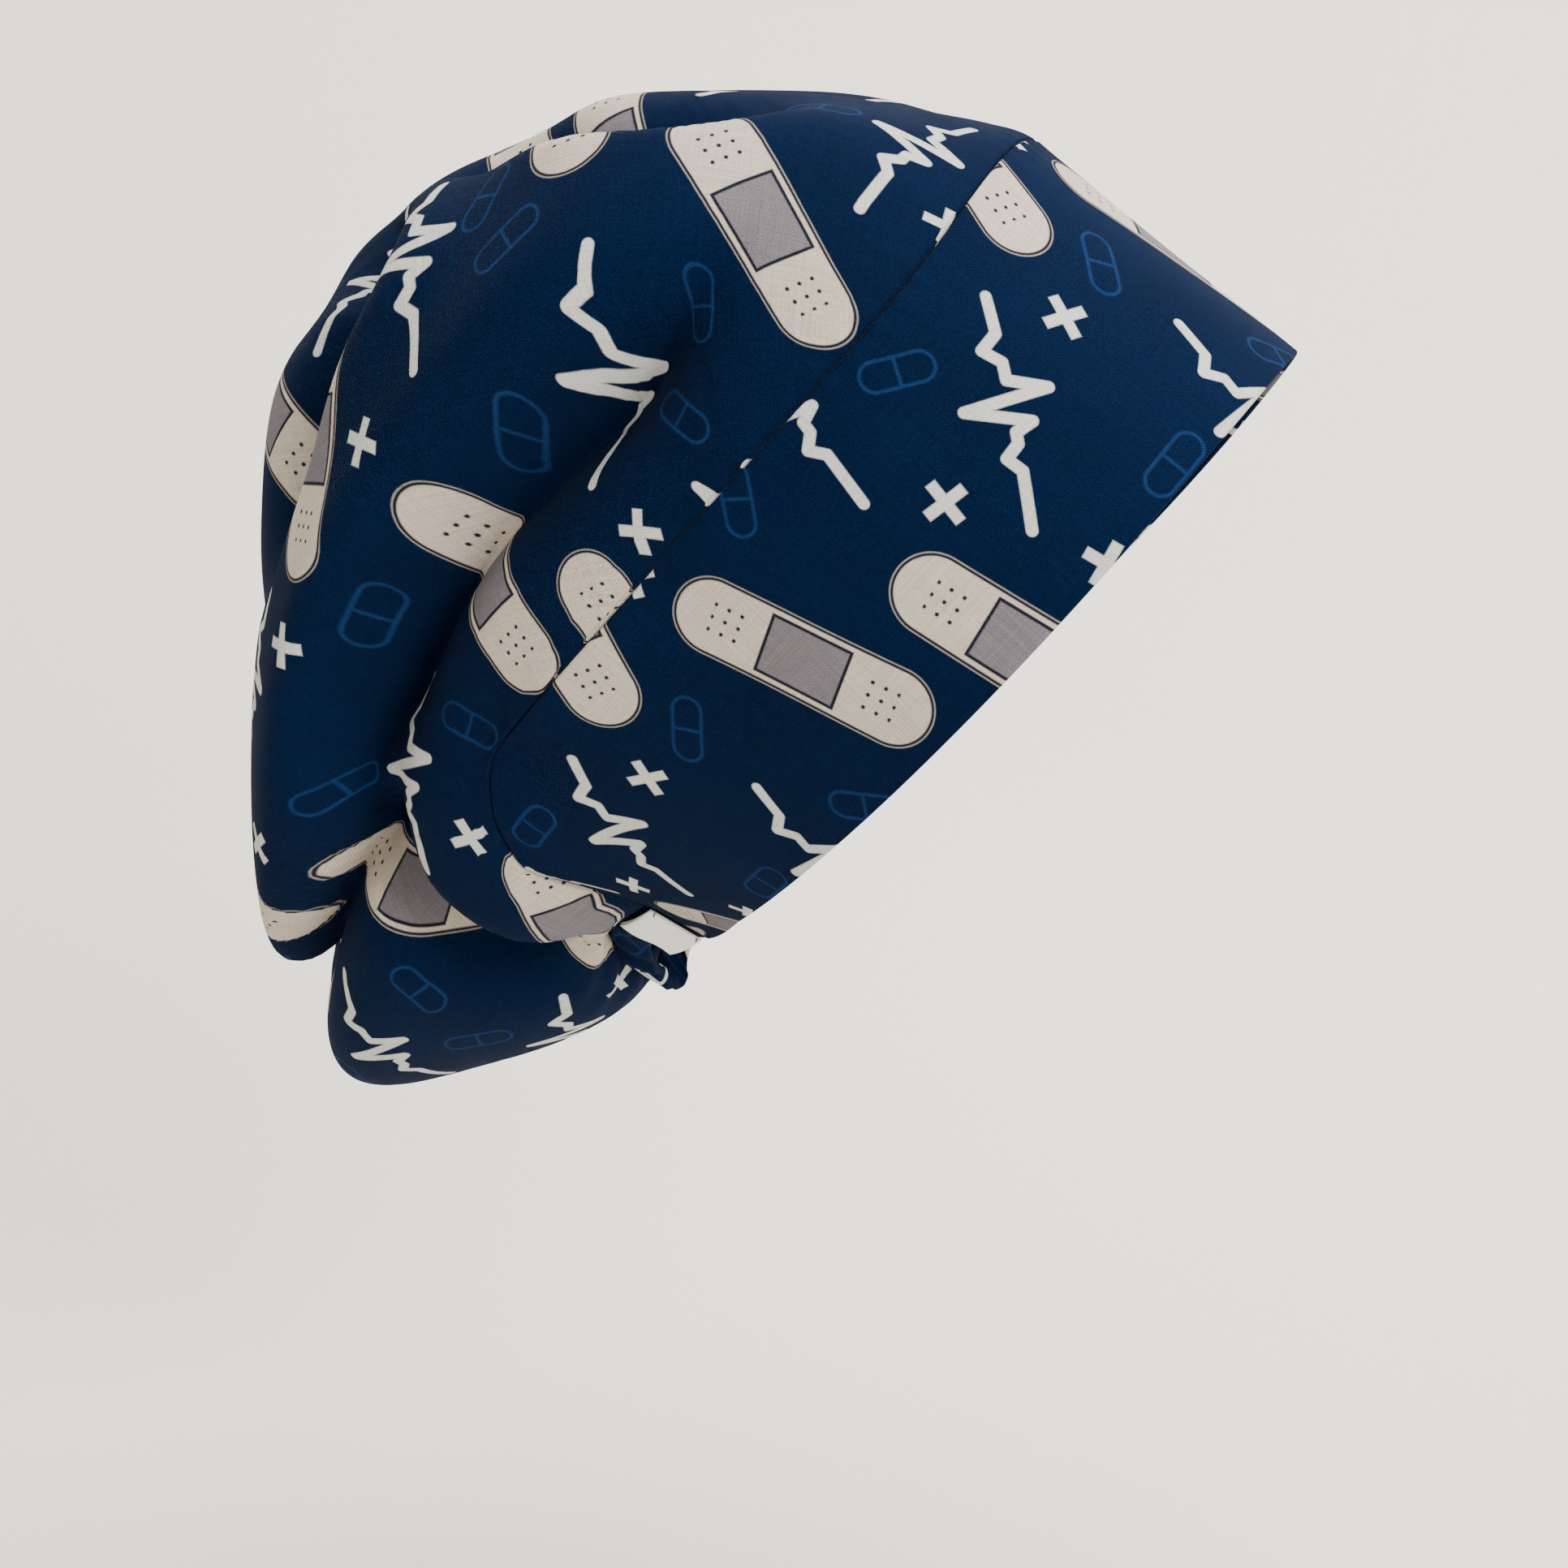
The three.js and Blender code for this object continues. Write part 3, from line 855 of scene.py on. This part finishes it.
def makeBand(values):
    end = math.radians(cap["bandEnd"]) - values["endClear"] / halfWidth
    angle = np.linspace(-end, end, values["columns"])
    span = rowLength(angle, 0)
    clear = values["seamClear"] * span / seamSpeed(angle, -1)
    rise, depth = tubeOutline(span - clear, values["wall"], values["faceRows"], values["roundSteps"])
    row = rise / span
    angles = np.broadcast_to(angle, row.shape)
    points = onGrid(capPoints, row, angles)
    normal = onGrid(outward, row, angles)
    first, second = [np.sin(angles * around + row * up) for around, up in values["swayWaves"]]
    sway = first * second * values["sway"] * (1 - row) * row * 4
    lift = onGrid(seamPucker, row, angles)[..., 0] + sway - depth
    along = runAlong(points)
    points = toWorld(points + normal * lift[..., None])
    flat = flatStrip(points, along, values["patternStart"])
    piece = tubePiece("bandCloth", points, flat, values["faceRows"], values["roundSteps"])
    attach(piece, "root")
    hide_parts("front_band")
    print(f"band strip {along[-1]:.3f} m long, {span.max():.3f} m high")
    return piece


bandCloth = makeBand(band)
print("band made")

casing = {
    "columns": 150,
    "wall": 0.0034,
    "faceRows": 12,
    "roundSteps": 5,
    "seamClear": 0.0004,
    "endClear": 0.0003,
    "rippleLength": 0.0062,
    "rippleDepth": 0.0009,
    "rippleDrift": (1.1, 0.009),  # how unevenly the ripples are spaced, and over what length
    "rippleSwell": (0.3, 0.007),  # the same for their depth
    "rippleSlant": 0.8,
    "endFade": 0.2,
    "patternStart": (0.11, 0.02),
}


def makeCasing(values):
    end = math.radians(180 - cap["bandEnd"]) - values["endClear"] / halfWidth
    angle = math.pi + np.linspace(-end, end, values["columns"])
    span = rowLength(angle, 0)
    steps = values["faceRows"], values["roundSteps"]
    rise, depth = tubeOutline(span - values["seamClear"], values["wall"], *steps)
    row = rise / span
    angles = np.broadcast_to(angle, row.shape)
    points = onGrid(capPoints, row, angles)
    normal = onGrid(outward, row, angles)
    metres = np.broadcast_to((angle - math.pi) * halfLength, row.shape)
    drift, driftLength = values["rippleDrift"]
    swell, swellLength = values["rippleSwell"]
    spacing = 2 * math.pi * metres / values["rippleLength"] + drift * np.sin(metres / driftLength)
    wave = np.sin(spacing + row * values["rippleSlant"])
    ripple = values["rippleDepth"] * wave * (1 - swell + swell * np.sin(metres / swellLength))
    ends = smooth(0, values["endFade"], 1 - abs(metres) / abs(metres).max())
    ripple = ripple * (1 - 2 * depth / values["wall"]) * ends
    points = toWorld(points + normal * (ripple - depth)[..., None])
    along = runAlong(points)
    flat = flatStrip(points, along, values["patternStart"])
    piece = tubePiece("casingCloth", points, flat, values["faceRows"], values["roundSteps"])
    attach(piece, "root")
    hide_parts("nape_casing")
    print(f"casing strip {along[-1]:.3f} m long, {span.max():.3f} m high")
    return piece


casingCloth = makeCasing(casing)
print("casing made")

tag = {
    "length": 0.019,
    "width": 0.0155,
    "lift": 0.0006,  # off the band, where it is sewn
    "standOff": 0.0006,  # of the whole ribbon, outwards
    "endClear": 0.000175,  # behind the band's end
    "curl": 0.0008,
    "sway": 0.0004,  # of its free end
    "back": (-0.82, 0.48, 0.305),
    "foldRadius": 0.00042,
    "sewnGap": 0.35,  # how far the layers are apart where they are sewn, as a share
    "ribbon": 0.00028,
    "steps": 16,
    "stepsAcross": 12,
    "white": (226, 225, 218),
    "ribPitch": 0.32,  # millimetres
    # painted shade: the ribs are painted lighter and darker along their relief
    "paintedRibShade": 0.02,
    "cloudShade": 0.10,
    "cloudScale": 0.35,
    "bump": 0.4,
    "bumpDepth": 0.00005,
    "roughness": 0.75,
}


def ribbonCloth():
    material, shader, wire = newMaterial("whiteRibbon")
    place = clothPlace(wire)
    x, y, _ = place.parts()
    turn = 2 * math.pi / tag["ribPitch"]
    ribs = (x * turn).sin() * 0.7 + (y * turn * 1.3).sin() * 0.3
    noise = {"Vector": place, "Scale": tag["cloudScale"], "Detail": 3}
    cloud = place.make("ShaderNodeTexNoise", None, noise)
    # Painted shade along the ribs' relief, plus the cloud's uneven tone of the ribbon
    toneAndPaintedShade = ribs * tag["paintedRibShade"] + cloud * tag["cloudShade"]
    grey = toneAndPaintedShade.make("ShaderNodeCombineXYZ", None, {"X": toneAndPaintedShade, "Y": toneAndPaintedShade, "Z": toneAndPaintedShade})
    white = linear(tag["white"])
    colour = grey.make(
        "ShaderNodeMix", {"data_type": "RGBA", "blend_type": "ADD"},
        {"Factor": 0.5, 6: white, 7: grey}, 2,
    )
    relief = {"Strength": tag["bump"], "Distance": tag["bumpDepth"], "Height": ribs + cloud}
    bump = ribs.make("ShaderNodeBump", None, relief)
    wire.tree.links.new(colour.socket, shader.inputs["Base Color"])
    wire.tree.links.new(bump.socket, shader.inputs["Normal"])
    shader.inputs["Roughness"].default_value = tag["roughness"]
    return material


def tagFrame(values):  # the attached edge's upper end and the directions down it and back
    end = np.array([-math.radians(cap["bandEnd"]) + values["endClear"] / halfWidth])
    corners = []
    for share in (1.0, 0.0):
        row = np.array([share])
        corners.append((capPoints(row, end) + outward(row, end, 0.05, 0.14) * values["lift"])[0])
    down = corners[1] - corners[0]
    down /= np.linalg.norm(down)
    back = np.array(values["back"])
    back -= down * (back @ down)
    back /= np.linalg.norm(back)
    top = (corners[0] + corners[1]) / 2 - down * values["width"] / 2
    return top, down, back, np.cross(back, down)


def makeTag(values):
    top, down, back, face = tagFrame(values)
    steps = values["steps"]
    radius = values["foldRadius"]
    share = np.linspace(0, 1, steps)
    run = values["length"] - radius
    bow = values["curl"] * np.sin(math.pi * share)
    turn = np.linspace(0, math.pi, 7)[1:-1]
    gap = values["sewnGap"] + (1 - values["sewnGap"]) * share
    path = [(s * run, b + radius * g) for s, b, g in zip(share, bow, gap)]
    path += [(run + radius * math.sin(t), bow[-1] + radius * math.cos(t)) for t in turn]
    path += [(s * run, b - radius * g) for s, b, g in zip(share[::-1], bow[::-1], gap[::-1])]
    path = np.array(path) + (0, values["standOff"])
    across = np.linspace(0, 1, values["stepsAcross"] + 1)
    sway = values["sway"]
    points = np.array([[
        top + back * x + face * (y + sway * math.sin(6 * s) * x / run) + down * s * values["width"]
        for s in across] for x, y in path])
    along = np.concatenate([[0], np.cumsum(np.linalg.norm(np.diff(path, axis=0), axis=1))])
    width = len(across)
    faces, uvs = [], []
    flat = np.stack(np.broadcast_arrays(along[:, None], (across * values["width"])[None, :]), -1)
    for i in range(len(path) - 1):
        for j in range(width - 1):
            low, high = i * width + j, (i + 1) * width + j
            faces.append((low, high, high + 1, low + 1))
            uvs += [flat[i, j], flat[i + 1, j], flat[i + 1, j + 1], flat[i, j + 1]]
    first = points.reshape(-1, 3)
    normal = np.cross(points[1, 0] - points[0, 0], points[0, 1] - points[0, 0])
    if normal @ face < 0:
        faces = [quad[::-1] for quad in faces]
        uvs = [uv for k in range(0, len(uvs), 4) for uv in uvs[k:k + 4][::-1]]
    piece = gridMesh("tagRibbon", toWorld(first), faces, uvs, [ribbonCloth()])
    wall = piece.modifiers.new("wall", "SOLIDIFY")
    wall.thickness = values["ribbon"]
    wall.offset = 0
    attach(piece, "root")
    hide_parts("side_tag")
    return piece, points


tagRibbon, ribbonPoints = makeTag(tag)
print("tag made")

stitch = {
    "length": 0.0022,
    "thickness": 0.00038,
    "before": 0.15,  # share of its length on the far side of the sewn edge
    "lift": 0.00012,
    "arch": 0.00022,
    "rings": 7,
    "sides": 8,
    "thread": (22, 24, 34),
    "cloudScale": 6.0,
    "roughness": 0.8,
}


def darkThread():
    material, shader, wire = newMaterial("darkThread")
    place = clothPlace(wire)
    cloud = {"Vector": place, "Scale": stitch["cloudScale"], "Detail": 2}
    noise = place.make("ShaderNodeTexNoise", None, cloud)
    colour = noise.mixed(linear(stitch["thread"]), linear([value * 2 for value in stitch["thread"]]))
    wire.tree.links.new(colour.socket, shader.inputs["Base Color"])
    shader.inputs["Roughness"].default_value = stitch["roughness"]
    return material


def makeStitches(values, ribbon):  # a short dark stitch holds each end of the ribbon's sewn edge
    length, thickness, sides = values["length"], values["thickness"], values["sides"]
    thread = darkThread()
    made = []
    for name, column in (("upperStitch", 1), ("lowerStitch", -2)):
        start = ribbon[0, column]
        along = ribbon[3, column] - start
        along /= np.linalg.norm(along)
        side = ribbon[0, 1] - ribbon[0, 0]
        side /= np.linalg.norm(side)
        out = np.cross(along, side)
        if out[1] > 0:
            out = -out
        rings = []
        for share in np.linspace(0, 1, values["rings"]):
            middle = start + along * length * (share - values["before"]) + side * thickness * 2 * share
            middle = middle + out * (values["lift"] + values["arch"] * math.sin(math.pi * share))
            thick = thickness / 2 * (0.6 + 0.4 * math.sin(math.pi * share))
            rings.append([
                middle + (side * math.cos(t) + out * math.sin(t)) * thick
                for t in np.linspace(0, 2 * math.pi, sides + 1)[:-1]])
        points = toWorld(np.array(rings)).reshape(-1, 3)
        faces = [
            gridFace(sides, i, k, i + 1, (k + 1) % sides)
            for i in range(values["rings"] - 1) for k in range(sides)
        ]
        faces += [tuple(range(sides))[::-1], tuple(range(len(points) - sides, len(points)))]
        uvs = [(points[corner][0], points[corner][2]) for face in faces for corner in face]
        piece = gridMesh(name, points, faces, uvs, [thread])
        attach(piece, "root")
        made.append(piece)
    return made


stitches = makeStitches(stitch, ribbonPoints)
print("stitches made")

stage = {
    "floor": -0.30,
    "flatRadius": 0.9,
    "bend": 0.5,
    "wallTop": 1.4,
    "turns": 96,
    "bendSteps": 12,
    "pale": (236, 233, 226),
    "cloudShade": 0.97,
    "world": (0.94, 0.95, 0.97),
    "worldStrength": 0.18,
}


def makeStage(values):
    profile = [(0, values["floor"]), (values["flatRadius"], values["floor"])]
    for t in np.linspace(0, math.pi / 2, values["bendSteps"] + 1)[1:]:
        profile.append((
            values["flatRadius"] + values["bend"] * math.sin(t),
            values["floor"] + values["bend"] * (1 - math.cos(t)),
        ))
    profile.append((profile[-1][0], values["wallTop"]))
    turns = values["turns"]
    points = [(0, 0, values["floor"])]
    points += [
        (r * math.cos(2 * math.pi * k / turns), r * math.sin(2 * math.pi * k / turns), z)
        for r, z in profile[1:] for k in range(turns)
    ]
    faces = [(0, 1 + k, 1 + (k + 1) % turns) for k in range(turns)]
    for i in range(len(profile) - 2):
        low, high = 1 + i * turns, 1 + (i + 1) * turns
        faces += [
            (low + k, high + k, high + (k + 1) % turns, low + (k + 1) % turns)
            for k in range(turns)
        ]
    mesh = bpy.data.meshes.new("paleStage")
    mesh.from_pydata(points, [], faces)
    mesh.polygons.foreach_set("use_smooth", [True] * len(mesh.polygons))
    material, shader, wire = newMaterial("paleBoard")
    noise = wire.make("ShaderNodeTexNoise", None, {"Scale": 3.0, "Detail": 2.0})
    pale = linear(values["pale"])
    colour = noise.mixed(pale, [value * values["cloudShade"] for value in pale[:3]] + [1])
    wire.tree.links.new(colour.socket, shader.inputs["Base Color"])
    shader.inputs["Roughness"].default_value = 0.9
    shader.inputs["Specular IOR Level"].default_value = 0.1
    mesh.materials.append(material)
    floor = bpy.data.objects.new("paleStage", mesh)
    bpy.context.scene.collection.objects.link(floor)
    world = bpy.data.worlds.new("softRoom")
    world.use_nodes = True
    sky = world.node_tree.nodes["Background"]
    sky.inputs["Color"].default_value = (*values["world"], 1)
    sky.inputs["Strength"].default_value = values["worldStrength"]
    bpy.context.scene.world = world


lamps = {  # place, target, side, watts, colour
    "key": ((0.56, -0.42, 0.58), (-0.05, 0, 0), 0.34, 12, (1.0, 0.985, 0.96)),
    "top": ((-0.10, 0.35, 1.25), (0, 0.55, 0), 0.9, 22, (1.0, 1.0, 1.0)),
    "backdrop": ((0.30, 0.55, 0.9), (-0.1, 1.5, -0.1), 0.9, 18.5, (1.0, 0.995, 0.98)),
    "fill": ((-0.95, -0.75, 0.45), (0, 0, 0), 0.9, 1.5, (0.95, 0.97, 1.0)),
}


def addLamp(name, place, target, side, watts, colour):
    light = bpy.data.lights.new(name, "AREA")
    light.shape = "SQUARE"
    light.size = side
    light.energy = watts
    light.color = colour
    lamp = bpy.data.objects.new(name, light)
    lamp.location = place
    lamp.rotation_euler = (Vector(target) - Vector(place)).to_track_quat("-Z", "Y").to_euler()
    bpy.context.scene.collection.objects.link(lamp)


makeStage(stage)
for name, values in lamps.items():
    addLamp(name, *values)
print("stage and lamps set")
